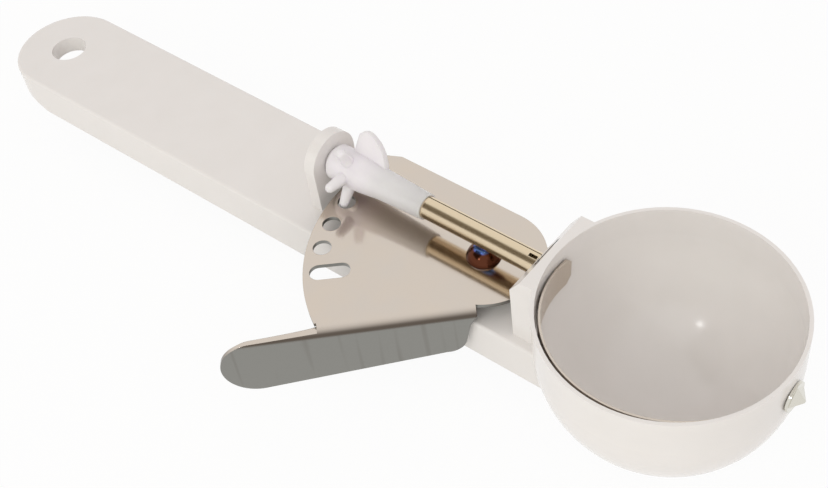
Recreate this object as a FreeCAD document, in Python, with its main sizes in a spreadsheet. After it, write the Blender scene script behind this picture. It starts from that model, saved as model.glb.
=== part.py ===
import FreeCAD, Part
import math
import os
import re

import Sketcher
from FreeCAD import Placement, Rotation, Vector

# Lever ice cream scoop. Millimetres, Z up. The origin is the centre of the hanging hole on the
# handle's top face, +X runs along the handle to the bowl, and the thumb lever is on the -Y side.

SIZES = {
    # handle bar, a channel that is open underneath
    "handle_end_half": 14.5,
    "handle_bowl_half": 13.2,
    "handle_depth": 10.6,
    "handle_skin": 2.4,
    "handle_wall": 2.8,
    "handle_edge": 0.7,
    "hang_radius": 4.75,
    "hang_depth": 4.6,
    "recess_end": 10.0,
    "root_overlap": 9.0,
    "bevel_start": 3.0,
    "tip_depth": 3.4,
    "rib_thickness": 1.6,
    "rib_height": 6.0,
    "rib_first": 38.0,
    "rib_pitch": 27.0,
    "rib_count": 4,
    # bowl
    "bowl_x": 190.0,
    "bowl_radius": 27.0,
    "bowl_wall": 0.8,
    "rim_height": 18.6,
    "collar_drop": 9.9,
    # turning axis of the scraper
    "axis_height": 11.5,
    "running_gap": 0.05,
    # block that joins the handle to the bowl and carries the shank
    "block_face": 30.6,
    "block_lean": 2.7,
    "block_half": 11.0,
    "lean_above": 3.3,
    "slit_half": 4.2,
    "slit_start": 1.3,
    "slit_width": 0.6,
    "slit_depth": 9.4,
    # lug that carries the rear end of the pinion
    "lug_radius": 6.9,
    "lug_thickness": 3.0,
    "lug_gap": 0.35,
    # lever pivot
    "pivot_x": 143.8,
    "boss_radius": 4.0,
    "plate_height": 4.0,
    "seat_gap": 0.1,
    "pillar_radius": 5.5,
    "pillar_rise": 3.6,
    # lever plate, folded sheet
    "sheet_thickness": 1.0,
    "hole_edge": 3.6,
    "hole_radius": 2.15,
    "hole_angle": 11.4286,
    "first_hole_angle": 175.8,
    "hole_count": 4,
    "slot_edge": 1.45,
    "slot_length": 9.25,
    "fan_radius": 40.2,
    "head_radius": 13.9,
    "fan_bevel": 1.6,
    "fan_bevel_length": 5.4,
    "fold_angle": 43.76,
    "fold_distance": 15.3,
    "fold_radius": 2.5,
    "fold_right": 3.4,
    "tab_left": 37.6,
    "tab_stop": 5.0,
    "tab_heel": 6.2,
    "tab_heel_radius": 4.0,
    "tab_heel_length": 4.4,
    "tab_reach": 52.3,
    "tab_tip_radius": 7.8,
    "tab_tip_drop": 9.3,
    "tab_taper": 6.0,
    "tab_top_step": 1.0,
    # pinion, measured from its tooth plane
    "journal_radius": 2.0,
    "journal_length": 2.6,
    "hub_back": 5.95,
    "hub_radius": 4.3,
    "hub_front": 3.2,
    "hub_bevel": 1.0,
    "sleeve_start": 9.0,
    "sleeve_radius": 3.6,
    "sleeve_end": 21.4,
    "sleeve_end_radius": 3.05,
    "socket_start": 7.0,
    "finger_reach": 9.3,
    "finger_root": 1.5,
    "finger_waist": 1.1,
    "finger_tip": 0.6,
    "finger_count": 5,
    "finger_angle": 60.0,
    "fin_reach": 9.6,
    "fin_thickness": 1.7,
    "fin_back": 1.0,
    "fin_chamfer": 1.2,
    "fin_crest": 0.2,
    "fin_length": 8.4,
    "fin_angle": 142.0,
    # shank, rolled from sheet
    "shank_radius": 2.6,
    "shank_wall": 0.6,
    "seam_gap": 0.3,
    "seam_angle": 68.0,
    "shank_slot_from": 2.7,
    "shank_slot_length": 2.1,
    "shank_slot_width": 0.8,
    "shank_slot_angle": 100.0,
    # scraper blade
    "blade_gap": 0.45,
    "blade_sheet": 0.5,
    "blade_half": 3.5,
    "blade_tail": 3.2,
    "blade_rest_angle": 6.0,
    "blade_point": 1.5,
    # pin at the far side of the bowl
    "pin_radius": 1.5,
    "pin_collar_radius": 3.3,
    "pin_collar": 0.6,
    "pin_point": 1.9,
    "point_base": 3.07,
    "point_flat": 0.3,
    "pin_upset": 0.7,
    # pivot rivet and its washer
    "rivet_radius": 2.0,
    "rivet_head": 4.0,
    "rivet_dome": 3.1,
    "rivet_tail": 3.0,
    "rivet_tail_height": 1.1,
    "rivet_tail_bevel": 0.6,
    "washer_radius": 4.6,
    "washer_thickness": 0.8,
    # return spring round the pivot boss
    "wire": 0.8,
    "coil_clearance": 0.5,
    "coil_pitch": 1.22,
    "coil_turns": 1,
    "coil_floor": 0.15,
    "spring_anchor": 7.5,
    "anchor_drop": 1.7,
    "anchor_bend": 0.9,
    "arm_gap": 1.0,
    "arm_along": 22.0,
}

doc = FreeCAD.newDocument("ice_cream_scoop")
sheet = doc.addObject("Spreadsheet::Sheet", "Sizes")
for row, (name, number) in enumerate(SIZES.items(), start=1):
    sheet.set(f"A{row}", name)
    sheet.set(f"B{row}", str(number))
    sheet.setAlias(f"B{row}", name)
doc.recompute()


def live(text):
    """The expression with each size name pointing at its cell."""
    return re.sub(r"[a-z_]+", lambda word: "Sizes." * (word[0] in SIZES) + word[0], text)


def value(text):
    """The number that an expression of size names gives now."""
    return float(sheet.evalExpression(text))


def new_body(name):
    body = doc.addObject("PartDesign::Body", name)
    body.Label = name
    return body


def new_sketch(body, name, role, lift=None, turn=0.0):
    """Sketch on an origin plane of the body, raised along its normal, turned about its x axis."""
    sketch = body.newObject("Sketcher::SketchObject", name)
    plane = next(item for item in body.Origin.OriginFeatures if item.Role == role)
    sketch.AttachmentSupport = [(plane, "")]
    sketch.MapMode = "FlatFace"
    sketch.AttachmentOffset = Placement(Vector(), Rotation(Vector(1, 0, 0), turn))
    if lift:
        sketch.setExpression("AttachmentOffset.Base.z", live(lift))
    return sketch


def pin_vertex(sketch, geometry, vertex, across, up):
    """Hold a vertex at two expressions measured from the sketch's origin."""
    for kind, axis, text in (("DistanceX", -2, across), ("DistanceY", -1, up)):
        if text == "0":
            sketch.addConstraint(Sketcher.Constraint("PointOnObject", geometry, vertex, axis))
            continue
        index = sketch.addConstraint(
            Sketcher.Constraint(kind, -1, 1, geometry, vertex, value(text)))
        sketch.setExpression(f"Constraints[{index}]", live(text))


def outline(sketch, corners):
    """Closed outline. A corner is (x, y), or (x, y, radius, side) where an arc arrives at it."""
    points = [Vector(value(corner[0]), value(corner[1]), 0) for corner in corners]
    ends = []
    for number, corner in enumerate(corners):
        start, end = points[number - 1], points[number]
        if len(corner) == 2:
            index = sketch.addGeometry(Part.LineSegment(start, end), False)
            ends.append((index, 1, 2))
        else:
            left = corner[3] == "left"
            index = sketch.addGeometry(arc_between(start, end, value(corner[2]), left), False)
            ends.append((index, 1, 2) if left else (index, 2, 1))
            size = sketch.addConstraint(Sketcher.Constraint("Radius", index, value(corner[2])))
            sketch.setExpression(f"Constraints[{size}]", live(corner[2]))
    for number, (index, first, last) in enumerate(ends):
        before, _, before_last = ends[number - 1]
        sketch.addConstraint(Sketcher.Constraint("Coincident", before, before_last, index, first))
        pin_vertex(sketch, index, last, corners[number][0], corners[number][1])


def arc_between(start, end, radius, left):
    """Arc under half a turn between two points, curving to the left or the right."""
    chord = end - start
    middle = (start + end) * 0.5
    rise = math.sqrt(max(radius ** 2 - (chord.Length / 2) ** 2, 0.0))
    side = Vector(-chord.y, chord.x, 0).normalize()
    centre = middle + side * (rise if left else -rise)
    first, last = (start, end) if left else (end, start)
    angles = [math.atan2(point.y - centre.y, point.x - centre.x) for point in (first, last)]
    circle = Part.Circle(centre, Vector(0, 0, 1), radius)
    return Part.ArcOfCircle(circle, angles[0], angles[1])


def disc(sketch, radius, across="0", up="0"):
    """Full circle with its centre at two expressions."""
    centre = Vector(value(across), value(up), 0)
    index = sketch.addGeometry(Part.Circle(centre, Vector(0, 0, 1), value(radius)), False)
    size = sketch.addConstraint(Sketcher.Constraint("Radius", index, value(radius)))
    sketch.setExpression(f"Constraints[{size}]", live(radius))
    pin_vertex(sketch, index, 3, across, up)


def pad(body, sketch, length, reverse=False, symmetric=False):
    feature = body.newObject("PartDesign::Pad", sketch.Name + "_pad")
    return extrusion(feature, sketch, length, reverse, symmetric)


def pocket(body, sketch, length, reverse=False, symmetric=False):
    before = body.Shape.Volume
    feature = body.newObject("PartDesign::Pocket", sketch.Name + "_pocket")
    extrusion(feature, sketch, length, reverse, symmetric)
    if body.Shape.Volume > before - 0.01:
        raise RuntimeError(f"{feature.Name} cuts nothing")
    return feature


def extrusion(feature, sketch, length, reverse, symmetric):
    feature.Profile = sketch
    feature.setExpression("Length", live(length))
    feature.Reversed = reverse
    feature.SideType = "Symmetric" if symmetric else "One side"
    feature.Refine = True
    doc.recompute()
    return feature


def turned(body, sketch, axis, kind="Revolution"):
    """Full turn of a sketch about one of its own axes."""
    feature = body.newObject("PartDesign::" + kind, sketch.Name + "_turn")
    feature.Profile = sketch
    feature.ReferenceAxis = (sketch, [axis])
    feature.Angle = 360
    doc.recompute()
    return feature


def origin_axis(body, role):
    return next(item for item in body.Origin.OriginFeatures if item.Role == role)


def edges_where(shape, test):
    """Names of the edges whose bounding box passes a test."""
    return [f"Edge{number}" for number, edge in enumerate(shape.Edges, start=1)
            if test(edge.BoundBox)]


def rounded(body, base, names, radius):
    fillet = body.newObject("PartDesign::Fillet", base.Name + "_round")
    fillet.Base = (base, names)
    fillet.setExpression("Radius", live(radius))
    doc.recompute()
    return fillet


def place(item, across="0", height="0", turn="0"):
    """Put a piece at its place, turned about the X axis."""
    item.setExpression("Placement.Base.x", live(across))
    item.setExpression("Placement.Base.z", live(height))
    item.Placement.Rotation = Rotation(Vector(1, 0, 0), 1)
    item.setExpression("Placement.Rotation.Angle", live(turn))
    doc.recompute()


# Distances that several pieces share
HOLE_CIRCLE = "(fan_radius - hole_edge)"
SLOT_OUTER = "(fan_radius - slot_edge)"
SLOT_INNER = "(fan_radius - slot_edge - slot_length)"
TOOTH_PLANE = f"pivot_x - {HOLE_CIRCLE}"
LUG_FACE = f"{TOOTH_PLANE} - hub_back - lug_gap"
PLATE_TOP = "(plate_height + sheet_thickness)"
BLOCK_FACE = "bowl_x - block_face"
COIL_RADIUS = "(boss_radius + coil_clearance + wire * 0.5)"
PILLAR_FOOT = "-(handle_depth - pillar_rise)"
INNER_RADIUS = "bowl_radius - bowl_wall"
BLADE_RADIUS = "(bowl_radius - bowl_wall - blade_gap)"
SHANK_BORE = "shank_radius - shank_wall"


def make_handle_and_bowl():
    """One moulding: channel-shaped handle, lug, pivot boss, block and bowl."""
    body = new_body("handle_and_bowl")

    bar = new_sketch(body, "bar", "XY_Plane")
    outline(bar, [
        ("0", "handle_end_half"),
        ("-handle_end_half", "0", "handle_end_half", "left"),
        ("0", "-handle_end_half", "handle_end_half", "left"),
        ("bowl_x - bowl_radius + root_overlap", "-handle_bowl_half"),
        ("bowl_x - bowl_radius + root_overlap", "handle_bowl_half"),
    ])
    bar_pad = pad(body, bar, "handle_depth", reverse=True)
    top_edges = edges_where(bar_pad.Shape, lambda box: abs(box.ZMin) < 0.01 and abs(box.ZMax) < 0.01
                            and box.XMin < value("bowl_x - bowl_radius"))
    rounded(body, bar_pad, top_edges, "handle_edge")

    block = new_sketch(body, "block", "XZ_Plane")
    outline(block, [
        ("bowl_x - block_face", "-handle_depth"),
        ("bowl_x - bowl_radius + root_overlap", "-handle_depth"),
        ("bowl_x - bowl_radius + root_overlap", "rim_height"),
        ("bowl_x - block_face + block_lean", "rim_height"),
        ("bowl_x - block_face", "axis_height + lean_above"),
    ])
    pad(body, block, "block_half * 2", symmetric=True)

    bowl = new_sketch(body, "bowl", "XZ_Plane")
    bowl.setExpression("AttachmentOffset.Base.x", live("bowl_x"))
    outline(bowl, [
        ("0", "rim_height - collar_drop - bowl_radius"),
        ("bowl_radius", "rim_height - collar_drop", "bowl_radius", "left"),
        ("bowl_radius", "rim_height"),
        ("0", "rim_height"),
    ])
    turned(body, bowl, "V_Axis")

    hollow = new_sketch(body, "hollow", "XZ_Plane")
    hollow.setExpression("AttachmentOffset.Base.x", live("bowl_x"))
    outline(hollow, [
        ("0", f"axis_height - ({INNER_RADIUS})"),
        (INNER_RADIUS, "axis_height", INNER_RADIUS, "left"),
        (INNER_RADIUS, "rim_height + 1"),
        ("0", "rim_height + 1"),
    ])
    turned(body, hollow, "V_Axis", "Groove")

    lug = new_sketch(body, "lug", "YZ_Plane", lift=LUG_FACE)
    outline(lug, [
        ("-lug_radius", "-handle_skin"),
        ("lug_radius", "-handle_skin"),
        ("lug_radius", "axis_height"),
        ("0", "axis_height + lug_radius", "lug_radius", "left"),
        ("-lug_radius", "axis_height", "lug_radius", "left"),
    ])
    pad(body, lug, "lug_thickness", reverse=True)

    boss = new_sketch(body, "boss", "XY_Plane")
    disc(boss, "boss_radius", "pivot_x")
    pad(body, boss, "plate_height - seat_gap")

    recess = new_sketch(body, "end_recess", "XY_Plane", lift="-handle_depth")
    outline(recess, [
        ("0", "handle_end_half - handle_wall"),
        ("-(handle_end_half - handle_wall)", "0", "handle_end_half - handle_wall", "left"),
        ("0", "-(handle_end_half - handle_wall)", "handle_end_half - handle_wall", "left"),
        ("recess_end", "-(handle_end_half - handle_wall)"),
        ("recess_end", "handle_end_half - handle_wall"),
    ])
    pocket(body, recess, "handle_depth - hang_depth", reverse=True)

    channel = new_sketch(body, "channel", "XY_Plane", lift="-handle_depth")
    outline(channel, [
        ("recess_end", "handle_end_half - handle_wall"),
        ("recess_end", "-(handle_end_half - handle_wall)"),
        ("bowl_x - block_face - 2", "-(handle_bowl_half - handle_wall)"),
        ("bowl_x - block_face - 2", "handle_bowl_half - handle_wall"),
    ])
    pocket(body, channel, "handle_depth - handle_skin", reverse=True)

    rib = new_sketch(body, "rib", "XY_Plane")
    half = "(handle_bowl_half - handle_wall * 0.5)"
    outline(rib, [
        ("rib_first", half),
        ("rib_first", "-" + half),
        ("rib_first + rib_thickness", "-" + half),
        ("rib_first + rib_thickness", half),
    ])
    rib_pad = pad(body, rib, "rib_height", reverse=True)
    ribs = body.newObject("PartDesign::LinearPattern", "ribs")
    ribs.Originals = [rib_pad]
    ribs.Direction = (origin_axis(body, "X_Axis"), [""])
    ribs.setExpression("Occurrences", live("rib_count"))
    ribs.setExpression("Length", live("rib_pitch * (rib_count - 1)"))
    body.Tip = ribs
    doc.recompute()

    pillar = new_sketch(body, "pillar", "XY_Plane")
    disc(pillar, "pillar_radius", "pivot_x")
    pad(body, pillar, "handle_depth - pillar_rise", reverse=True)

    rivet_hole = new_sketch(body, "rivet_hole", "XY_Plane")
    disc(rivet_hole, "rivet_radius + running_gap", "pivot_x")
    pocket(body, rivet_hole, "handle_depth * 4", symmetric=True)

    hang_hole = new_sketch(body, "hang_hole", "XY_Plane")
    disc(hang_hole, "hang_radius")
    pocket(body, hang_hole, "handle_depth * 4", symmetric=True)

    bevel = new_sketch(body, "tip_bevel", "XZ_Plane")
    outline(bevel, [
        ("bevel_start", "-handle_depth"),
        ("-handle_end_half", "-tip_depth"),
        ("-handle_end_half - 2", "-tip_depth"),
        ("-handle_end_half - 2", "-handle_depth - 1"),
        ("bevel_start", "-handle_depth - 1"),
    ])
    pocket(body, bevel, "handle_end_half * 3", symmetric=True)

    journal = new_sketch(body, "journal_hole", "YZ_Plane", lift=LUG_FACE)
    disc(journal, "journal_radius + running_gap", "0", "axis_height")
    pocket(body, journal, "lug_thickness + 1")

    bearing = new_sketch(body, "shank_hole", "YZ_Plane", lift="bowl_x - block_face - 1")
    disc(bearing, "shank_radius + running_gap", "0", "axis_height")
    pocket(body, bearing, "block_face", reverse=True)

    pin_hole = new_sketch(body, "pin_hole", "YZ_Plane", lift="bowl_x + bowl_radius + 1")
    disc(pin_hole, "pin_radius + running_gap", "0", "axis_height")
    pocket(body, pin_hole, "bowl_wall + 2")

    slit = new_sketch(body, "slit", "XY_Plane", lift="rim_height")
    outline(slit, [
        ("bowl_x - block_face + slit_start", "-slit_half"),
        ("bowl_x - block_face + slit_start + slit_width", "-slit_half"),
        ("bowl_x - block_face + slit_start + slit_width", "slit_half"),
        ("bowl_x - block_face + slit_start", "slit_half"),
    ])
    pocket(body, slit, "slit_depth")

    spring_hole = new_sketch(body, "spring_hole", "XY_Plane")
    disc(spring_hole, "wire * 0.5 + running_gap", "pivot_x - spring_anchor", COIL_RADIUS)
    pocket(body, spring_hole, "handle_skin + 1")
    return body


def loose_sketch(name, turn=None):
    """Sketch at the lever pivot: flat, or upright and turned about Z by an angle."""
    sketch = doc.addObject("Sketcher::SketchObject", name)
    if turn is not None:
        upright = Rotation(Vector(1, 0, 0), 90)
        sketch.Placement.Rotation = Rotation(Vector(0, 0, 1), turn).multiply(upright)
    sketch.setExpression("Placement.Base.x", live("pivot_x"))
    return sketch


def extruded(sketch, length, symmetric=False):
    feature = doc.addObject("Part::Extrusion", sketch.Name + "_extrusion")
    feature.Base = sketch
    feature.DirMode = "Normal"
    feature.Solid = True
    feature.Symmetric = symmetric
    feature.setExpression("LengthFwd", live(length))
    doc.recompute()
    return feature


def folded(along, outward):
    """Plan point given along the fold and outward from the pivot, as two expressions."""
    return (f"sin(fold_angle) * ({outward}) + cos(fold_angle) * ({along})",
            f"sin(fold_angle) * ({along}) - cos(fold_angle) * ({outward})")


def at_angle(radius, sideways, angle):
    """Point at a radius from the pivot and sideways of that radius, at an angle."""
    return (f"({radius}) * cos({angle}) - ({sideways}) * sin({angle})",
            f"({radius}) * sin({angle}) + ({sideways}) * cos({angle})")


def make_lever_plate():
    """Sheet with a toothed sector's holes, folded down along one edge into the thumb tab."""
    fold_edge = "(fold_distance - fold_radius)"
    plan = loose_sketch("plate_plan")
    plan.setExpression("Placement.Base.z", live("plate_height"))
    bevel = "(head_radius - fan_bevel)"
    outline(plan, [
        ("0", "head_radius", "head_radius", "left"),
        ("-fan_radius + fan_bevel_length", "head_radius"),
        (f"-sqrt(fan_radius ^ 2 - {bevel} ^ 2)", bevel),
        ("-fan_radius", "0", "fan_radius", "left"),
        folded(f"-sqrt(fan_radius ^ 2 - {fold_edge} ^ 2)", fold_edge) + ("fan_radius", "left"),
        folded("-fold_right", fold_edge),
        folded("-fold_right", "sqrt(head_radius ^ 2 - fold_right ^ 2)"),
        ("head_radius", "0", "head_radius", "left"),
    ])
    flat = extruded(plan, "sheet_thickness")

    section = loose_sketch("fold_section", value("fold_angle") - 90)
    outline(section, [
        (f"{fold_edge} - sheet_thickness", "plate_height"),
        (fold_edge, "plate_height"),
        ("fold_distance - sheet_thickness", f"{PLATE_TOP} - fold_radius",
         "fold_radius - sheet_thickness", "right"),
        ("fold_distance - sheet_thickness", "-tab_tip_radius * 3"),
        ("fold_distance", "-tab_tip_radius * 3"),
        ("fold_distance", f"{PLATE_TOP} - fold_radius"),
        (fold_edge, PLATE_TOP, "fold_radius", "left"),
        (f"{fold_edge} - sheet_thickness", PLATE_TOP),
    ])
    strip = extruded(section, "(tab_reach + tab_tip_radius) * 3", symmetric=True)

    side = loose_sketch("tab_side", value("fold_angle"))
    tip_height = f"({PLATE_TOP} - tab_tip_drop)"
    low = f"{tip_height} - tab_tip_radius * cos(tab_taper)"
    low_along = "-tab_reach + tab_tip_radius * sin(tab_taper)"
    heel_along = "(-tab_heel - tab_heel_length)"
    heel = f"{low} + ({heel_along} - ({low_along})) * tan(tab_taper)"
    outline(side, [
        ("-fold_right", f"{PLATE_TOP} + 1"),
        ("-tab_left", f"{PLATE_TOP} + 1"),
        ("-tab_left", f"{PLATE_TOP} - tab_top_step"),
        ("-tab_reach", f"{tip_height} + tab_tip_radius"),
        ("-tab_reach - tab_tip_radius", tip_height, "tab_tip_radius", "left"),
        (low_along, low, "tab_tip_radius", "left"),
        (heel_along, heel),
        ("-tab_heel", f"{heel} + tab_heel_length * 0.7", "tab_heel_radius", "left"),
        ("-tab_stop", "handle_edge * 0.6"),
        ("-fold_right", "plate_height - handle_edge"),
    ])
    profile = extruded(side, "fold_distance * 3")

    tab = doc.addObject("Part::Common", "folded_tab")
    tab.Base = strip
    tab.Tool = profile
    sheet_metal = doc.addObject("Part::Fuse", "plate_blank")
    sheet_metal.Base = flat
    sheet_metal.Tool = tab
    sheet_metal.Refine = True

    holes = loose_sketch("plate_holes")
    disc(holes, "rivet_radius + running_gap")
    for number in range(int(value("hole_count"))):
        angle = f"(first_hole_angle + hole_angle * {number})"
        across, up = at_angle(HOLE_CIRCLE, "0", angle)
        disc(holes, "hole_radius", across, up)
    angle = "(first_hole_angle + hole_angle * hole_count)"
    round_end = "hole_radius"
    inner, outer = f"({SLOT_INNER} + {round_end})", f"({SLOT_OUTER} - {round_end})"
    outline(holes, [
        at_angle(inner, round_end, angle),
        at_angle(SLOT_INNER, "0", angle) + (round_end, "left"),
        at_angle(inner, f"-{round_end}", angle) + (round_end, "left"),
        at_angle(outer, f"-{round_end}", angle),
        at_angle(SLOT_OUTER, "0", angle) + (round_end, "left"),
        at_angle(outer, round_end, angle) + (round_end, "left"),
    ])
    punches = extruded(holes, f"{PLATE_TOP} * 4", symmetric=True)

    plate = doc.addObject("Part::Cut", "lever_plate")
    plate.Label = "lever_plate"
    plate.Base = sheet_metal
    plate.Tool = punches
    doc.recompute()
    return plate


def make_pinion():
    """Moulded pinion along X: rear journal, hub, five round fingers, one broad fin and a sleeve."""
    body = new_body("pinion")

    core = new_sketch(body, "core", "XZ_Plane")
    outline(core, [
        ("-hub_back - lug_gap - journal_length", "0"),
        ("sleeve_end", "0"),
        ("sleeve_end", "sleeve_end_radius"),
        ("sleeve_start", "sleeve_radius"),
        ("hub_front", "hub_radius"),
        ("-hub_back + hub_bevel", "hub_radius"),
        ("-hub_back", "hub_radius - hub_bevel"),
        ("-hub_back", "journal_radius"),
        ("-hub_back - lug_gap - journal_length", "journal_radius"),
    ])
    turned(body, core, "H_Axis")

    fin = new_sketch(body, "fin", "XZ_Plane")
    outline(fin, [
        ("-fin_back", "hub_radius * 0.5"),
        ("fin_length", "hub_radius * 0.5"),
        ("fin_length", "sleeve_radius"),
        ("fin_chamfer", "fin_reach", "fin_reach * 1.1", "left"),
        ("fin_crest", "fin_reach"),
        ("-fin_back", "fin_reach - fin_chamfer"),
    ])
    pad(body, fin, "fin_thickness", symmetric=True)

    finger = new_sketch(body, "finger", "XZ_Plane", turn=value("finger_angle"))
    outline(finger, [
        ("0", "hub_radius * 0.5"),
        ("finger_root", "hub_radius * 0.5"),
        ("finger_root", "hub_radius"),
        ("finger_waist", "finger_reach - finger_tip"),
        ("finger_tip", "finger_reach"),
        ("0", "finger_reach"),
    ])
    one = turned(body, finger, "V_Axis")
    fingers = body.newObject("PartDesign::PolarPattern", "fingers")
    fingers.Originals = [one]
    fingers.Axis = (origin_axis(body, "X_Axis"), [""])
    fingers.setExpression("Angle", live("finger_angle * (finger_count - 1)"))
    fingers.setExpression("Occurrences", live("finger_count"))
    body.Tip = fingers
    doc.recompute()

    socket = new_sketch(body, "socket", "YZ_Plane", lift="sleeve_end + 1")
    disc(socket, "shank_radius")
    pocket(body, socket, "sleeve_end + 1 - socket_start")
    place(body, TOOTH_PLANE, "axis_height", "fin_angle - 180")
    return body


def make_scraper_shank():
    """Tube rolled from sheet, with its seam open along one side and a small slot near the bowl."""
    body = new_body("scraper_shank")
    start = f"({TOOTH_PLANE} + socket_start)"
    end = f"(bowl_x - {BLADE_RADIUS})"

    tube = new_sketch(body, "tube", "YZ_Plane", lift=start)
    disc(tube, "shank_radius")
    disc(tube, SHANK_BORE)
    pad(body, tube, f"{end} - {start}")

    seam = new_sketch(body, "seam", "XY_Plane", turn=value("seam_angle"))
    outline(seam, [
        (f"{start} - 1", "0"),
        (f"{end} + 1", "0"),
        (f"{end} + 1", "shank_radius * 2"),
        (f"{start} - 1", "shank_radius * 2"),
    ])
    pocket(body, seam, "seam_gap", symmetric=True)

    slot = new_sketch(body, "shank_slot", "XY_Plane", turn=value("shank_slot_angle"))
    slot_start = f"({BLOCK_FACE} - shank_slot_from)"
    outline(slot, [
        (slot_start, "0"),
        (f"{slot_start} + shank_slot_length", "0"),
        (f"{slot_start} + shank_slot_length", "shank_radius * 2"),
        (slot_start, "shank_radius * 2"),
    ])
    pocket(body, slot, "shank_slot_width", symmetric=True)
    place(body, height="axis_height")
    return body


def make_scraper_blade():
    """Strip bent to half a hoop that sweeps the inside of the bowl, with a pointed tail."""
    body = new_body("scraper_blade")
    inner = f"({BLADE_RADIUS} - blade_sheet)"

    hoop = new_sketch(body, "hoop", "XY_Plane")
    outline(hoop, [
        (f"-{BLADE_RADIUS}", "blade_tail"),
        (f"-{BLADE_RADIUS}", "0"),
        ("0", f"-{BLADE_RADIUS}", BLADE_RADIUS, "left"),
        (BLADE_RADIUS, "0", BLADE_RADIUS, "left"),
        (BLADE_RADIUS, "blade_tail"),
        (inner, "blade_tail"),
        (inner, "0"),
        ("0", f"-{inner}", inner, "right"),
        (f"-{inner}", "0", inner, "right"),
        (f"-{inner}", "blade_tail"),
    ])
    pad(body, hoop, "blade_half * 2", symmetric=True)

    trim = new_sketch(body, "blade_end_trim", "YZ_Plane")
    for sign in ("", "-"):
        outline(trim, [
            ("blade_tail - blade_point", f"{sign}(blade_half + 1)"),
            ("blade_tail - blade_point", f"{sign}blade_half"),
            ("blade_tail + 1", f"{sign}(blade_half - blade_point - 1)"),
            ("blade_tail + 1", f"{sign}(blade_half + 1)"),
        ])
    pocket(body, trim, f"{BLADE_RADIUS} * 3", symmetric=True)

    hole = new_sketch(body, "blade_pin_hole", "YZ_Plane", lift=f"{BLADE_RADIUS} + 1")
    disc(hole, "pin_radius")
    pocket(body, hole, "blade_sheet + 2")
    place(body, "bowl_x", "axis_height", "-blade_rest_angle")
    return body


def make_tip_pin():
    """Pin through the far wall of the bowl, with a round collar and a four-sided point outside."""
    body = new_body("tip_pin")
    outer_wall = "(bowl_radius + seat_gap)"
    head = f"({BLADE_RADIUS} - blade_sheet)"

    stem = new_sketch(body, "stem", "XZ_Plane")
    outline(stem, [
        (f"{head} - pin_upset", "0"),
        (f"{outer_wall} + pin_collar", "0"),
        (f"{outer_wall} + pin_collar", "pin_collar_radius"),
        (outer_wall, "pin_collar_radius"),
        (outer_wall, "pin_radius"),
        (f"{head} - seat_gap * 1.5", "pin_radius"),
        (f"{head} - seat_gap * 1.5", "pin_radius + pin_upset"),
        (f"{head} - pin_upset", "pin_radius"),
    ])
    turned(body, stem, "H_Axis")

    sections = []
    for name, ahead, reach in (("base", "0", "point_base"), ("tip", "pin_point", "point_flat")):
        lift = f"{outer_wall} + pin_collar + {ahead}"
        section = new_sketch(body, "point_" + name, "YZ_Plane", lift=lift)
        outline(section, [(reach, "0"), ("0", reach), (f"-{reach}", "0"), ("0", f"-{reach}")])
        sections.append(section)
    point = body.newObject("PartDesign::AdditiveLoft", "point")
    point.Profile = sections[0]
    point.Sections = sections[1:]
    point.Ruled = True
    doc.recompute()
    place(body, "bowl_x", "axis_height", "0")
    return body


def make_pivot_rivet():
    """Rivet that holds the lever: domed head over the plate, flat tail under the washer."""
    body = new_body("pivot_rivet")
    head = f"({PLATE_TOP} + seat_gap)"
    foot = f"({PILLAR_FOOT} - washer_thickness)"
    dome = "(rivet_head ^ 2 + rivet_dome ^ 2) / (2 * rivet_dome)"
    profile = new_sketch(body, "rivet_profile", "XZ_Plane")
    outline(profile, [
        ("0", f"{foot} - rivet_tail_height"),
        ("rivet_tail - rivet_tail_bevel", f"{foot} - rivet_tail_height"),
        ("rivet_tail", f"{foot} - rivet_tail_height + rivet_tail_bevel"),
        ("rivet_tail", foot),
        ("rivet_radius", foot),
        ("rivet_radius", head),
        ("rivet_head", head),
        ("0", f"{head} + rivet_dome", dome, "left"),
    ])
    turned(body, profile, "V_Axis")
    place(body, "pivot_x")
    return body


def make_rivet_washer():
    """Flat washer between the handle's pillar and the rivet's tail."""
    washer = doc.addObject("Part::Cut", "rivet_washer")
    washer.Label = "rivet_washer"
    for role, radius in (("Base", "washer_radius"), ("Tool", "rivet_radius + running_gap")):
        disc_solid = doc.addObject("Part::Cylinder", "washer_" + role.lower())
        disc_solid.setExpression("Radius", live(radius))
        disc_solid.setExpression("Height", live("washer_thickness"))
        setattr(washer, role, disc_solid)
    washer.setExpression("Placement.Base.x", live("pivot_x"))
    washer.setExpression("Placement.Base.z", live(f"{PILLAR_FOOT} - washer_thickness"))
    doc.recompute()
    return washer


def biarc(start, start_way, end, end_way):
    """Two arcs that join in one tangent, between two points with given directions."""
    gap = end - start
    both = start_way + end_way
    spread = 2 * (1 - start_way.dot(end_way))
    reach = (math.sqrt(gap.dot(both) ** 2 + spread * gap.dot(gap)) - gap.dot(both)) / spread
    first, second = start + start_way * reach, end - end_way * reach
    meet = (first + second) * 0.5
    return [tangent_arc(start, first, meet), tangent_arc(meet, second, end)]


def tangent_arc(start, corner, end):
    """Arc that touches the lines from its ends to a corner."""
    middle = (start + end) * 0.5
    half = (end - start).Length / 2
    lift = (corner - middle).Length
    sagitta = half * math.tan(math.atan2(lift, half) / 2)
    top = middle + (corner - middle) * (sagitta / lift)
    return Part.Arc(start, top, end).toShape()


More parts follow.
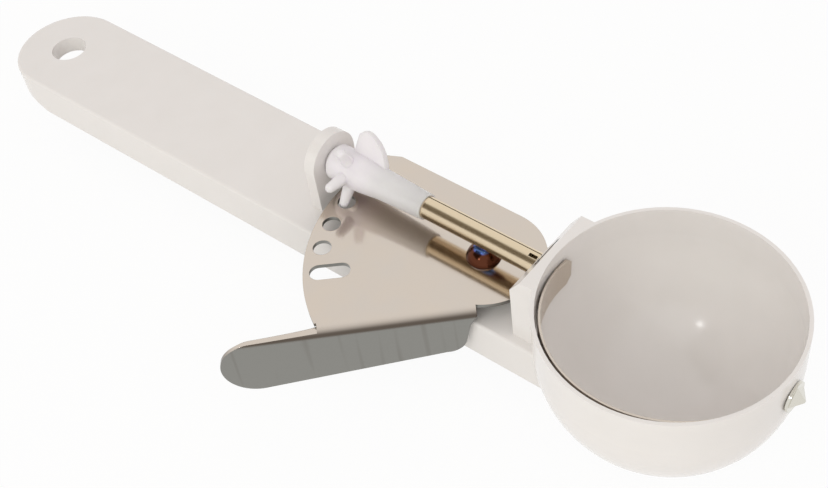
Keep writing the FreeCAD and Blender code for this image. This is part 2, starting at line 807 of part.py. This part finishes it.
def make_return_spring():
    """Torsion spring: anchored in the handle, wound clockwise round the boss, arm on the tab."""
    wire = value("wire")
    radius = value(COIL_RADIUS)
    pitch = value("coil_pitch")
    floor = value("coil_floor") + wire / 2
    bend = value("anchor_bend")
    anchor = value("spring_anchor")

    outward = value("fold_distance - sheet_thickness - arm_gap") - wire / 2
    along = value("arm_along")
    arm = math.sqrt(outward ** 2 + along ** 2 - radius ** 2)
    fold = math.radians(value("fold_angle"))
    end = Vector(math.sin(fold) * outward - math.cos(fold) * along,
                 -math.cos(fold) * outward - math.sin(fold) * along, 0)
    leave = math.atan2(end.y, end.x) + math.atan2(arm, radius)
    sweep = (math.pi / 2 - leave) % (2 * math.pi) + 2 * math.pi * value("coil_turns")
    parts = math.ceil(sweep / math.pi)

    def coil(share):
        angle = math.pi / 2 - sweep * share
        height = floor + pitch * sweep * share / (2 * math.pi)
        point = Vector(radius * math.cos(angle), radius * math.sin(angle), height)
        climb = pitch / (2 * math.pi * radius) if 0 < share < 1 else 0
        way = Vector(math.sin(angle), -math.cos(angle), climb)
        return point, way.normalize()

    first, first_way = coil(0)
    last, last_way = coil(1)
    corner = Vector(-anchor, radius, first.z)
    down = Vector(0, 0, -1)
    foot = corner + down * value("anchor_drop + coil_floor")
    edges = [Part.LineSegment(foot, corner + down * bend).toShape(),
             tangent_arc(corner + down * bend, corner, corner + first_way * bend),
             Part.LineSegment(corner + first_way * bend, first).toShape()]
    for number in range(parts):
        start, start_way = coil(number / parts)
        stop, stop_way = coil((number + 1) / parts)
        edges += biarc(start, start_way, stop, stop_way)
    edges.append(Part.LineSegment(last, last + last_way * arm).toShape())

    path = Part.Wire(edges)
    ring = Part.Wire([Part.Circle(foot, Vector(0, 0, 1), wire / 2).toShape()])
    spring = doc.addObject("Part::Feature", "return_spring")
    spring.Label = "return_spring"
    spring.Shape = path.makePipeShell([ring], True, False)
    spring.setExpression("Placement.Base.x", live("pivot_x"))
    doc.recompute()

    section_by_length = math.pi * wire ** 2 / 4 * path.Length
    if abs(spring.Shape.Volume - section_by_length) > section_by_length / 50:
        raise RuntimeError("return_spring is not the volume of its wire")
    return spring


PIECES = [
    make_handle_and_bowl(),
    make_lever_plate(),
    make_pinion(),
    make_scraper_shank(),
    make_scraper_blade(),
    make_tip_pin(),
    make_pivot_rivet(),
    make_rivet_washer(),
    make_return_spring(),
]
doc.recompute()

for item in doc.Objects:
    if "Invalid" in item.State or "Error" in item.State:
        raise RuntimeError(f"{item.Name} failed: {item.State}")
os.makedirs("parts", exist_ok=True)
for piece in PIECES:
    shape = piece.Shape
    if shape.isNull() or not shape.isValid() or len(shape.Solids) < 1:
        raise RuntimeError(f"{piece.Label} has no valid solid")
    print(f"{piece.Label}: {len(shape.Solids)} solid, {shape.Volume:.1f} mm3, {shape.BoundBox}")
    shape.exportStep(os.path.join("parts", piece.Label + ".step"))
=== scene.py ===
import math

import bpy
from bpy.props import FloatProperty, FloatVectorProperty, PointerProperty, StringProperty
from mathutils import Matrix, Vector


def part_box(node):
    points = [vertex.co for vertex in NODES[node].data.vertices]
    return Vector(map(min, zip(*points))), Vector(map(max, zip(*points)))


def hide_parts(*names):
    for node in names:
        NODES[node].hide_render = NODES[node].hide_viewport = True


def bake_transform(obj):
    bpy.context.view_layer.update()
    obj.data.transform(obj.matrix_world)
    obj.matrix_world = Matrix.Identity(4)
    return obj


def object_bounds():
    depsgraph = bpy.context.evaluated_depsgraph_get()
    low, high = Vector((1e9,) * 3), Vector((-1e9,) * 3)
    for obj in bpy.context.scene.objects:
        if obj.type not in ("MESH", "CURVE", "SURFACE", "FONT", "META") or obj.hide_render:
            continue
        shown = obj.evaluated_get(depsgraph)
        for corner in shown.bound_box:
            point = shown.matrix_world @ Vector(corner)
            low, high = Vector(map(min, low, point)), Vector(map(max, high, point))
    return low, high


bl_info = {
    "name": "Ice cream scoop looks",
    "version": (1, 0, 0),
    "blender": (4, 5, 0),
    "location": "View3D > Sidebar > Scoop",
    "description": "Finishes, small pieces and studio for a lever ice cream scoop",
    "category": "Object",
}

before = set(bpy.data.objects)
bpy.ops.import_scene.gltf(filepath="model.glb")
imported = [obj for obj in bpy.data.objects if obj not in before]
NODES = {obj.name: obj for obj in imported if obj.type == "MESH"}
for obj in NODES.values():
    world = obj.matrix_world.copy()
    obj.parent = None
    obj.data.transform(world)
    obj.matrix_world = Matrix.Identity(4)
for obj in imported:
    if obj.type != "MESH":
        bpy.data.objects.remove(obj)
CAD_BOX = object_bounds()
MM = 0.001

# Direction of the lever's thumb tab, from the CAD
FOLD_ANGLE = math.radians(43.76)

# Middle of the slit in the block's top, from the CAD, and half sizes just past its walls
SLIT_MIDDLE = (161.0 * MM, 0.0, 13.9 * MM)
SLIT_HALF = (0.34 * MM, 4.25 * MM, 4.75 * MM)

# Share of the paper's own light, so that it looks evenly white and keeps a faint shadow
PAPER_GLOW = 0.94


def linear(hex_text):
    """Linear colour of an sRGB hex value such as E6E2DD, with full alpha."""
    channels = [int(hex_text[start:start + 2], 16) / 255 for start in (0, 2, 4)]
    curve = [c / 12.92 if c <= 0.04045 else ((c + 0.055) / 1.055) ** 2.4 for c in channels]
    return (*curve, 1.0)


def hex_prop(name, text, description):
    return StringProperty(name=name, default=text, description=description, maxlen=6)


class ScoopStage(bpy.types.PropertyGroup):
    """Camera, floor and lamps."""
    camera_place: FloatVectorProperty(
        name="Camera place", subtype="TRANSLATION", unit="LENGTH",
        default=(0.267634, -0.139569, 0.218127), description="Where the camera stands")
    camera_turn: FloatVectorProperty(
        name="Camera turn", subtype="EULER", unit="ROTATION",
        default=tuple(math.radians(angle) for angle in (41.7237, 6.2841, 39.1109)),
        description="Turn of the camera about X, Y and Z")
    camera_lens: FloatProperty(
        name="Lens", default=56.192, unit="CAMERA", description="Focal length on a 36 mm sensor")
    floor_size: FloatProperty(
        name="Floor size", default=6.0, unit="LENGTH", description="Side of the square floor")
    floor_colour: hex_prop("Floor", "F2F1EF", "Colour of the paper sweep")
    sky_colour: hex_prop("Sky colour", "FFFAF7", "Slightly warm light from all round")
    key_colour: hex_prop("Key colour", "FBFFF8", "Colour of the large soft lamp")
    card_colour: hex_prop("Card", "6E6557", "Dark card that only gloss sees")
    sky_strength: FloatProperty(
        name="Sky", default=0.75, description="Strength of the even light from all round")
    key_power: FloatProperty(
        name="Key lamp", default=1.25, unit="POWER", description="Power of the large soft lamp")
    window_power: FloatProperty(
        name="Window", default=0.06, unit="POWER",
        description="Power of the small lamp in the bowl's gloss")


class ScoopSpring(bpy.types.PropertyGroup):
    """Heights between which the spring's coil takes up the lever's turn."""
    still_below: FloatProperty(
        name="Still below", default=0.95 * MM, unit="LENGTH",
        description="Top of the leg that the handle holds")
    turned_above: FloatProperty(
        name="Turned above", default=1.77 * MM, unit="LENGTH",
        description="Underside of the arm that goes with the lever")


class ScoopFinish(bpy.types.PropertyGroup):
    """Colours of the real materials, and of the painted shade and painted reflections on the
    block's slit, the lever's bend and side faces and the rivet's head.
    """
    moulding: hex_prop("Moulding", "F1EEEC", "White polypropylene of the handle and bowl")
    moulding_low: hex_prop(
        "Moulding, duller", "ECE9E6", "The same where the melt cooled slower")
    slit: hex_prop("Slit", "1C1918", "Walls of the narrow slit in the block, in their own shade")
    nylon_low: hex_prop("Nylon, cloudier", "E9E6EB", "The same where it is cloudy")
    nylon: hex_prop("Nylon", "F4F1F4", "Natural nylon of the pinion")
    sheet: hex_prop("Sheet steel", "CEC5BC", "Rolled stainless sheet of the lever")
    sheet_warm: hex_prop("Warm sheet", "D3C6B8", "The same sheet in its warmer patches")
    # Painted dark reflection round the lever's bend; the real rub marks on the tab take this
    # colour too
    sheet_bend_reflection_and_rubs: hex_prop("Bend steel", "5F564E", "The same sheet where it is drawn round the bend")
    # Painted grey reflection on the lever's upright faces: the thumb tab, the sheet's edges and
    # the hole walls
    sheet_side_reflection: hex_prop("Tab steel", "8E8D88", "The same sheet where the thumb rubs it")
    tube: hex_prop("Tube steel", "DDCBAE", "Drawn and rolled tube of the shank")
    strip: hex_prop("Strip steel", "CDC2B6", "Strip of the scraper")
    # Painted reflection on the rivet's head: brown of the dark surroundings at its rim, blue light
    # on its top
    dome_rim_reflection: hex_prop("Rivet rim", "5B3424", "Brown temper colour at the rivet's rim")
    dome_top_reflection: hex_prop("Rivet top", "5F86E0", "Blue temper colour on the rivet's top")
    bright: hex_prop("Bright steel", "D9D6CC", "Polished pin")


def add(tree, kind, settings=None, inputs=None):
    """Adds a node, sets its properties and its sockets, and links sockets given as outputs."""
    node = tree.nodes.new(kind)
    for key, setting in (settings or {}).items():
        setattr(node, key, setting)
    for key, given in (inputs or {}).items():
        if isinstance(given, bpy.types.NodeSocket):
            tree.links.new(given, node.inputs[key])
        else:
            node.inputs[key].default_value = given
    return node


def new_material(name):
    material = bpy.data.materials.new(name)
    material.use_nodes = True
    material.node_tree.nodes.clear()
    return material, material.node_tree


def finish_material(tree, shader):
    add(tree, "ShaderNodeOutputMaterial", inputs={"Surface": shader.outputs["BSDF"]})


def object_point(tree):
    return add(tree, "ShaderNodeTexCoord").outputs["Object"]


def dress(name, material):
    """Gives a CAD node its only material."""
    mesh = NODES[name].data
    mesh.materials.clear()
    mesh.materials.append(material)


def soft_edge(tree, radius_mm):
    """Normal that rounds sharp edges by a radius."""
    bevel = add(tree, "ShaderNodeBevel", {"samples": 6}, {"Radius": radius_mm * MM})
    return bevel.outputs["Normal"]


def inside_slit(tree, point):
    """One on the walls of the block's slit, which carry painted shade: the narrow slit looks
    black, and a plain one renders barely visible."""
    unit = add(tree, "ShaderNodeMapping", inputs={
        "Vector": point, "Scale": tuple(1 / half for half in SLIT_HALF),
        "Location": tuple(-middle / half for middle, half in zip(SLIT_MIDDLE, SLIT_HALF))})
    reach = add(tree, "ShaderNodeVectorMath", {"operation": "ABSOLUTE"},
                {0: unit.outputs["Vector"]})
    axes = add(tree, "ShaderNodeSeparateXYZ", inputs={"Vector": reach.outputs["Vector"]})
    flat = add(tree, "ShaderNodeMath", {"operation": "MAXIMUM"},
               {0: axes.outputs["X"], 1: axes.outputs["Y"]})
    furthest = add(tree, "ShaderNodeMath", {"operation": "MAXIMUM"},
                   {0: flat.outputs["Value"], 1: axes.outputs["Z"]})
    return add(tree, "ShaderNodeMath", {"operation": "LESS_THAN"},
               {0: furthest.outputs["Value"], 1: 1.0}).outputs["Value"]


def moulded_polypropylene(finish):
    """White polypropylene, injection moulded in a polished tool: faint ripple and soft gloss,
    with painted shade down the narrow slit in the block."""
    material, tree = new_material("moulded_polypropylene")
    point = object_point(tree)
    ripple = add(tree, "ShaderNodeTexNoise",
                 inputs={"Vector": point, "Scale": 1 / (9 * MM), "Detail": 2.0, "Roughness": 0.5})
    grain = add(tree, "ShaderNodeTexNoise",
                inputs={"Vector": point, "Scale": 1 / (0.35 * MM), "Detail": 1.0,
                        "Roughness": 0.5})
    tone = add(tree, "ShaderNodeMix", {"data_type": "RGBA"},
               {"Factor": ripple.outputs["Fac"], "A": linear(finish.moulding_low),
                "B": linear(finish.moulding)})
    # Painted shade on the walls of the narrow slit in the block
    shaded = add(tree, "ShaderNodeMix", {"data_type": "RGBA"}, {
        "Factor": inside_slit(tree, point), "A": tone.outputs["Result"],
        "B": linear(finish.slit)})
    gloss = add(tree, "ShaderNodeMapRange", inputs={
        "Value": ripple.outputs["Fac"], "To Min": 0.13, "To Max": 0.19})
    relief = add(tree, "ShaderNodeMix", {"data_type": "FLOAT"},
                 {"Factor": 0.25, "A": ripple.outputs["Fac"], "B": grain.outputs["Fac"]})
    bump = add(tree, "ShaderNodeBump", inputs={
        "Height": relief.outputs["Result"], "Strength": 0.12, "Distance": 0.05 * MM})
    shader = add(tree, "ShaderNodeBsdfPrincipled", inputs={
        "Base Color": shaded.outputs["Result"], "Roughness": gloss.outputs["Result"],
        "IOR": 1.49, "Subsurface Weight": 0.12, "Subsurface Scale": 1.2 * MM,
        "Subsurface Radius": (1.0, 0.95, 0.9), "Normal": bump.outputs["Normal"]})
    finish_material(tree, shader)
    return material


def moulded_nylon(finish):
    """Natural nylon, unpigmented: milky, lets light into thin fingers, satin skin."""
    material, tree = new_material("moulded_nylon")
    point = object_point(tree)
    cloud = add(tree, "ShaderNodeTexNoise",
                inputs={"Vector": point, "Scale": 1 / (4 * MM), "Detail": 3.0, "Roughness": 0.6})
    tone = add(tree, "ShaderNodeMix", {"data_type": "RGBA"},
               {"Factor": cloud.outputs["Fac"], "A": linear(finish.nylon_low),
                "B": linear(finish.nylon)})
    bump = add(tree, "ShaderNodeBump", inputs={
        "Height": cloud.outputs["Fac"], "Strength": 0.2, "Distance": 0.08 * MM,
        "Normal": soft_edge(tree, 0.3)})
    shader = add(tree, "ShaderNodeBsdfPrincipled", inputs={
        "Base Color": tone.outputs["Result"], "Roughness": 0.34, "IOR": 1.53,
        "Subsurface Weight": 0.75, "Subsurface Scale": 2.5 * MM,
        "Subsurface Radius": (1.0, 0.95, 1.05), "Normal": bump.outputs["Normal"]})
    finish_material(tree, shader)
    return material


def rolled_stainless_sheet(finish):
    """Stainless sheet, bright rolled: nearly a mirror on top, with painted dark reflection round
    the bend and a grey painted reflection on the thumb tab and other upright faces, with a few
    real rub marks down it."""
    material, tree = new_material("rolled_stainless_sheet")
    coordinates = add(tree, "ShaderNodeTexCoord")
    point = coordinates.outputs["Object"]
    facing = add(tree, "ShaderNodeSeparateXYZ", inputs={"Vector": coordinates.outputs["Normal"]})
    # Painted dark reflection round the bend, by how far a face turns away from facing up
    bend = add(tree, "ShaderNodeMapRange", {"interpolation_type": "SMOOTHSTEP"}, {
        "Value": facing.outputs["Z"], "From Min": 0.995, "From Max": 0.4})
    # Painted grey reflection on upright faces: the thumb tab, the sheet's edges and the hole walls
    tab = add(tree, "ShaderNodeMapRange", {"interpolation_type": "SMOOTHSTEP"}, {
        "Value": facing.outputs["Z"], "From Min": 0.3, "From Max": 0.02})
    streaks = add(tree, "ShaderNodeMapping", inputs={
        "Vector": point, "Rotation": (0, 0, -FOLD_ANGLE), "Scale": (0.05, 1.0, 1.0)})
    brushing = add(tree, "ShaderNodeTexNoise", inputs={
        "Vector": streaks.outputs["Vector"], "Scale": 1 / (0.3 * MM), "Detail": 3.0,
        "Roughness": 0.6})
    mottle = add(tree, "ShaderNodeTexNoise",
                 inputs={"Vector": point, "Scale": 1 / (7 * MM), "Detail": 2.0, "Roughness": 0.5})
    downward = add(tree, "ShaderNodeMapping", inputs={
        "Vector": point, "Rotation": (0, 0, -FOLD_ANGLE), "Scale": (1.0, 0.1, 0.04)})
    rubs = add(tree, "ShaderNodeTexNoise", inputs={
        "Vector": downward.outputs["Vector"], "Scale": 1 / (1.3 * MM), "Detail": 1.0,
        "Roughness": 0.4})
    rub_marks = add(tree, "ShaderNodeMapRange", inputs={
        "Value": rubs.outputs["Fac"], "From Min": 0.62, "From Max": 0.85, "To Max": 0.3})
    rolled = add(tree, "ShaderNodeMix", {"data_type": "RGBA"}, {
        "Factor": mottle.outputs["Fac"], "A": linear(finish.sheet),
        "B": linear(finish.sheet_warm)})
    with_bend_reflection = add(tree, "ShaderNodeMix", {"data_type": "RGBA"}, {
        "Factor": bend.outputs["Result"], "A": rolled.outputs["Result"],
        "B": linear(finish.sheet_bend_reflection_and_rubs)})
    # Grey painted reflection on the upright faces, with real rub marks down them in the bend's
    # dark colour
    side_reflection_rubbed = add(tree, "ShaderNodeMix", {"data_type": "RGBA"}, {
        "Factor": rub_marks.outputs["Result"], "A": linear(finish.sheet_side_reflection),
        "B": linear(finish.sheet_bend_reflection_and_rubs)})
    tone = add(tree, "ShaderNodeMix", {"data_type": "RGBA"}, {
        "Factor": tab.outputs["Result"], "A": with_bend_reflection.outputs["Result"],
        "B": side_reflection_rubbed.outputs["Result"]})
    smear = add(tree, "ShaderNodeMapRange", inputs={
        "Value": mottle.outputs["Fac"], "To Min": 0.1, "To Max": 0.15})
    rough = add(tree, "ShaderNodeMix", {"data_type": "FLOAT"}, {
        "Factor": tab.outputs["Result"], "A": smear.outputs["Result"], "B": 0.34})
    bump = add(tree, "ShaderNodeBump", inputs={
        "Height": brushing.outputs["Fac"], "Strength": 0.08, "Distance": 0.02 * MM,
        "Normal": soft_edge(tree, 0.15)})
    shader = add(tree, "ShaderNodeBsdfPrincipled", inputs={
        "Base Color": tone.outputs["Result"], "Metallic": 1.0,
        "Roughness": rough.outputs["Result"], "Normal": bump.outputs["Normal"]})
    finish_material(tree, shader)
    return material


def drawn_steel(name, colour, roughness, streak_mm=0.2):
    """Bright steel, drawn or pressed: fine lines along X, even sheen."""
    material, tree = new_material(name)
    point = object_point(tree)
    stretched = add(tree, "ShaderNodeMapping", inputs={"Vector": point, "Scale": (0.04, 1.0, 1.0)})
    lines = add(tree, "ShaderNodeTexNoise", inputs={
        "Vector": stretched.outputs["Vector"], "Scale": 1 / (streak_mm * MM), "Detail": 2.0,
        "Roughness": 0.5})
    rough = add(tree, "ShaderNodeMapRange", inputs={
        "Value": lines.outputs["Fac"], "To Min": roughness * 0.8, "To Max": roughness * 1.25})
    bump = add(tree, "ShaderNodeBump", inputs={
        "Height": lines.outputs["Fac"], "Strength": 0.06, "Distance": 0.01 * MM,
        "Normal": soft_edge(tree, 0.1)})
    shader = add(tree, "ShaderNodeBsdfPrincipled", inputs={
        "Base Color": linear(colour), "Metallic": 1.0, "Roughness": rough.outputs["Result"],
        "Normal": bump.outputs["Normal"]})
    finish_material(tree, shader)
    return material


def rivet_steel_painted_reflection(finish, centre, radius):
    """Rivet steel with painted reflection on its head: a brown ring at the rim and blue on the
    dome, and plain on the tail."""
    material, tree = new_material("rivet_steel_painted_reflection")
    shifted = add(tree, "ShaderNodeMapping", inputs={
        "Vector": object_point(tree), "Location": (-centre.x, -centre.y, 0),
        "Scale": (1.0, 1.0, 0.0)})
    reach = add(tree, "ShaderNodeVectorMath", {"operation": "LENGTH"},
                {0: shifted.outputs["Vector"]})
    # Painted reflection: blue in the middle of the dome, brown towards its rim
    ring = add(tree, "ShaderNodeMapRange", {"interpolation_type": "SMOOTHSTEP"}, {
        "Value": reach.outputs["Value"], "From Min": radius * 0.44, "From Max": radius * 0.6})
    tone = add(tree, "ShaderNodeMix", {"data_type": "RGBA"}, {
        "Factor": ring.outputs["Result"], "A": linear(finish.dome_top_reflection),
        "B": linear(finish.dome_rim_reflection)})
    height = add(tree, "ShaderNodeSeparateXYZ", inputs={"Vector": object_point(tree)})
    headed = add(tree, "ShaderNodeMath", {"operation": "GREATER_THAN"},
                 {0: height.outputs["Z"], 1: 0.0})
    shown = add(tree, "ShaderNodeMix", {"data_type": "RGBA"}, {
        "Factor": headed.outputs["Value"], "A": linear(finish.strip),
        "B": tone.outputs["Result"]})
    shader = add(tree, "ShaderNodeBsdfPrincipled", inputs={
        "Base Color": shown.outputs["Result"], "Metallic": 1.0, "Roughness": 0.16})
    finish_material(tree, shader)
    return material


class SCOOP_OT_moulding(bpy.types.Operator):
    """Finish the handle and bowl"""
    bl_idname = "scoop.moulding"
    bl_label = "Moulding"

    def execute(self, context):
        dress("handle_and_bowl", moulded_polypropylene(context.scene.scoop_finish))
        return {"FINISHED"}


class SCOOP_OT_lever(bpy.types.Operator):
    """Finish the lever plate and its thumb tab"""
    bl_idname = "scoop.lever"
    bl_label = "Lever"

    def execute(self, context):
        dress("lever_plate", rolled_stainless_sheet(context.scene.scoop_finish))
        return {"FINISHED"}


class SCOOP_OT_pinion(bpy.types.Operator):
    """Finish the pinion"""
    bl_idname = "scoop.pinion"
    bl_label = "Pinion"

    def execute(self, context):
        dress("pinion", moulded_nylon(context.scene.scoop_finish))
        return {"FINISHED"}


class SCOOP_OT_scraper(bpy.types.Operator):
    """Finish the shank, blade and tip pin"""
    bl_idname = "scoop.scraper"
    bl_label = "Scraper"

    def execute(self, context):
        finish = context.scene.scoop_finish
        dress("scraper_shank", drawn_steel("drawn_tube_steel", finish.tube, 0.24))
        dress("scraper_blade", drawn_steel("rolled_strip_steel", finish.strip, 0.28))
        dress("tip_pin", drawn_steel("polished_pin_steel", finish.bright, 0.12))
        return {"FINISHED"}


class SCOOP_OT_spring(bpy.types.Operator):
    """Make the return spring's wire, a smooth-shaded copy of the CAD spring"""
    bl_idname = "scoop.spring"
    bl_label = "Return spring"

    def execute(self, context):
        solid = NODES["return_spring"]
        spring = bpy.data.objects.new("return_spring_wire", solid.data.copy())
        context.scene.collection.objects.link(spring)
        spring.matrix_world = solid.matrix_world
        bpy.ops.object.select_all(action="DESELECT")
        spring.select_set(True)
        context.view_layer.objects.active = spring
        bpy.ops.object.mode_set(mode="EDIT")
        bpy.ops.mesh.select_all(action="SELECT")
        bpy.ops.mesh.remove_doubles(threshold=0.001 * MM)
        bpy.ops.object.mode_set(mode="OBJECT")
        bpy.ops.object.shade_smooth_by_angle(angle=math.radians(40))
        spring.data.materials.clear()
        spring.data.materials.append(
            drawn_steel("spring_wire_steel", context.scene.scoop_finish.strip, 0.22))
        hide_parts("return_spring")
        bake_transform(spring)
        return {"FINISHED"}


class SCOOP_OT_pivot(bpy.types.Operator):
    """Finish the rivet and its washer"""
    bl_idname = "scoop.pivot"
    bl_label = "Pivot"

    def execute(self, context):
        finish = context.scene.scoop_finish
        low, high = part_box("pivot_rivet")
        centre = (Vector(low) + Vector(high)) / 2
        dress("pivot_rivet", rivet_steel_painted_reflection(finish, centre, (high[0] - low[0]) / 2))
        dress("rivet_washer", drawn_steel("pressed_washer_steel", finish.strip, 0.3))
        return {"FINISHED"}


def paper_sweep(colour):
    """White seamless paper: even white to the eye and in metal, and it keeps a faint shadow."""
    material, tree = new_material("seamless_paper")
    paper = add(tree, "ShaderNodeBsdfDiffuse", inputs={"Color": linear(colour)})
    glow = add(tree, "ShaderNodeEmission", inputs={"Color": (1, 1, 1, 1), "Strength": 1.0})
    path = add(tree, "ShaderNodeLightPath")
    seen = add(tree, "ShaderNodeMath", {"operation": "MAXIMUM"}, {
        0: path.outputs["Is Camera Ray"], 1: path.outputs["Is Glossy Ray"]})
    through = add(tree, "ShaderNodeMath", {"operation": "MAXIMUM"}, {
        0: seen.outputs["Value"], 1: path.outputs["Is Transmission Ray"]})
    share = add(tree, "ShaderNodeMath", {"operation": "MULTIPLY"}, {
        0: through.outputs["Value"], 1: PAPER_GLOW})
    mixed = add(tree, "ShaderNodeMixShader", inputs={"Fac": share.outputs["Value"]})
    tree.links.new(paper.outputs["BSDF"], mixed.inputs[1])
    tree.links.new(glow.outputs["Emission"], mixed.inputs[2])
    add(tree, "ShaderNodeOutputMaterial", inputs={"Surface": mixed.outputs["Shader"]})
    return material


def light_world(strength, colour):
    """Even light from all round, white to the camera and in metal."""
    world = bpy.data.worlds.new("studio_room")
    world.use_nodes = True
    tree = world.node_tree
    tree.nodes.clear()
    path = add(tree, "ShaderNodeLightPath")
    seen = add(tree, "ShaderNodeMath", {"operation": "MAXIMUM"}, {
        0: path.outputs["Is Camera Ray"], 1: path.outputs["Is Glossy Ray"]})
    through = add(tree, "ShaderNodeMath", {"operation": "MAXIMUM"}, {
        0: seen.outputs["Value"], 1: path.outputs["Is Transmission Ray"]})
    level = add(tree, "ShaderNodeMix", {"data_type": "FLOAT"}, {
        "Factor": through.outputs["Value"], "A": strength, "B": 1.0})
    hue = add(tree, "ShaderNodeMix", {"data_type": "RGBA"}, {
        "Factor": through.outputs["Value"], "A": linear(colour), "B": (1, 1, 1, 1)})
    room = add(tree, "ShaderNodeBackground", inputs={
        "Color": hue.outputs["Result"], "Strength": level.outputs["Result"]})
    add(tree, "ShaderNodeOutputWorld", inputs={"Surface": room.outputs["Background"]})
    bpy.context.scene.world = world


def soft_lamp(name, place, target, side, power, colour):
    bpy.ops.object.light_add(type="AREA", location=place)
    lamp = bpy.context.object
    lamp.name = name
    lamp.data.shape = "SQUARE"
    lamp.data.size = side
    lamp.data.energy = power
    lamp.data.color = linear(colour)[:3]
    lamp.rotation_euler = (Vector(target) - Vector(place)).to_track_quat("-Z", "Y").to_euler()
    return lamp


def dark_card(colour):
    """Dark card above the lever's side: only gloss sees it, as a dark band along the shank."""
    facing = Vector((0.3, 0.5, -0.8))
    bpy.ops.mesh.primitive_plane_add(size=1.0, location=(-0.03, -0.2, 0.29))
    card = bpy.context.object
    card.name = "dark_card"
    card.scale = (0.34, 0.3, 1.0)
    card.rotation_euler = facing.to_track_quat("Z", "Y").to_euler()
    bpy.ops.object.transform_apply(location=True, rotation=True, scale=True)
    material, tree = new_material("dark_felt")
    felt = add(tree, "ShaderNodeEmission", inputs={"Color": linear(colour), "Strength": 1.0})
    add(tree, "ShaderNodeOutputMaterial", inputs={"Surface": felt.outputs["Emission"]})
    card.data.materials.append(material)
    card.visible_camera = False
    card.visible_diffuse = False
    card.visible_shadow = False
    card.visible_transmission = False


class SCOOP_OT_stage(bpy.types.Operator):
    """Set up the paper floor, the lamps and the camera"""
    bl_idname = "scoop.stage"
    bl_label = "Stage"

    def execute(self, context):
        stage = context.scene.scoop_stage
        middle = (Vector(CAD_BOX[0]) + Vector(CAD_BOX[1])) / 2
        bpy.ops.object.select_all(action="DESELECT")
        bpy.ops.mesh.primitive_plane_add(size=stage.floor_size,
                                         location=(middle.x, middle.y, CAD_BOX[0][2]))
        floor = context.object
        floor.name = "paper_floor"
        bpy.ops.object.transform_apply(location=True, rotation=True, scale=True)
        floor.data.materials.append(paper_sweep(stage.floor_colour))
        light_world(stage.sky_strength, stage.sky_colour)
        key = soft_lamp("key_softbox", (0.3, -0.62, 0.42), middle, 0.45, stage.key_power,
                        stage.key_colour)
        key.visible_glossy = False
        soft_lamp("window", (0.144, -0.34, 0.262), (0.1875, 0.0182, -0.0072), 0.022,
                  stage.window_power, "FFFFFF")
        dark_card(stage.card_colour)

        camera_data = bpy.data.cameras.new("photo_camera")
        camera = bpy.data.objects.new("photo_camera", camera_data)
        context.scene.collection.objects.link(camera)
        camera.location = stage.camera_place
        camera.rotation_euler = stage.camera_turn
        camera_data.sensor_fit = "HORIZONTAL"
        camera_data.lens = stage.camera_lens
        camera_data.clip_start = 0.01
        context.scene.camera = camera
        context.scene.view_settings.view_transform = "Standard"
        return {"FINISHED"}


STEPS = ("moulding", "lever", "pinion", "scraper", "spring", "pivot", "stage")


class SCOOP_PT_panel(bpy.types.Panel):
    """Builds the scoop's looks step by step"""
    bl_idname = "SCOOP_PT_panel"
    bl_label = "Ice cream scoop"
    bl_space_type = "VIEW_3D"
    bl_region_type = "UI"
    bl_category = "Scoop"

    def draw(self, context):
        for step in STEPS:
            self.layout.operator("scoop." + step)


CLASSES = (ScoopStage, ScoopSpring, ScoopFinish, SCOOP_OT_moulding, SCOOP_OT_lever,
           SCOOP_OT_pinion, SCOOP_OT_scraper, SCOOP_OT_spring, SCOOP_OT_pivot,
           SCOOP_OT_stage, SCOOP_PT_panel)


def register():
    for item in CLASSES:
        bpy.utils.register_class(item)
    bpy.types.Scene.scoop_stage = PointerProperty(type=ScoopStage)
    bpy.types.Scene.scoop_spring = PointerProperty(type=ScoopSpring)
    bpy.types.Scene.scoop_finish = PointerProperty(type=ScoopFinish)


def unregister():
    del bpy.types.Scene.scoop_finish
    del bpy.types.Scene.scoop_spring
    del bpy.types.Scene.scoop_stage
    for item in reversed(CLASSES):
        bpy.utils.unregister_class(item)


def main():
    register()
    for step in STEPS:
        getattr(bpy.ops.scoop, step)()


if __name__ == "__main__":
    main()
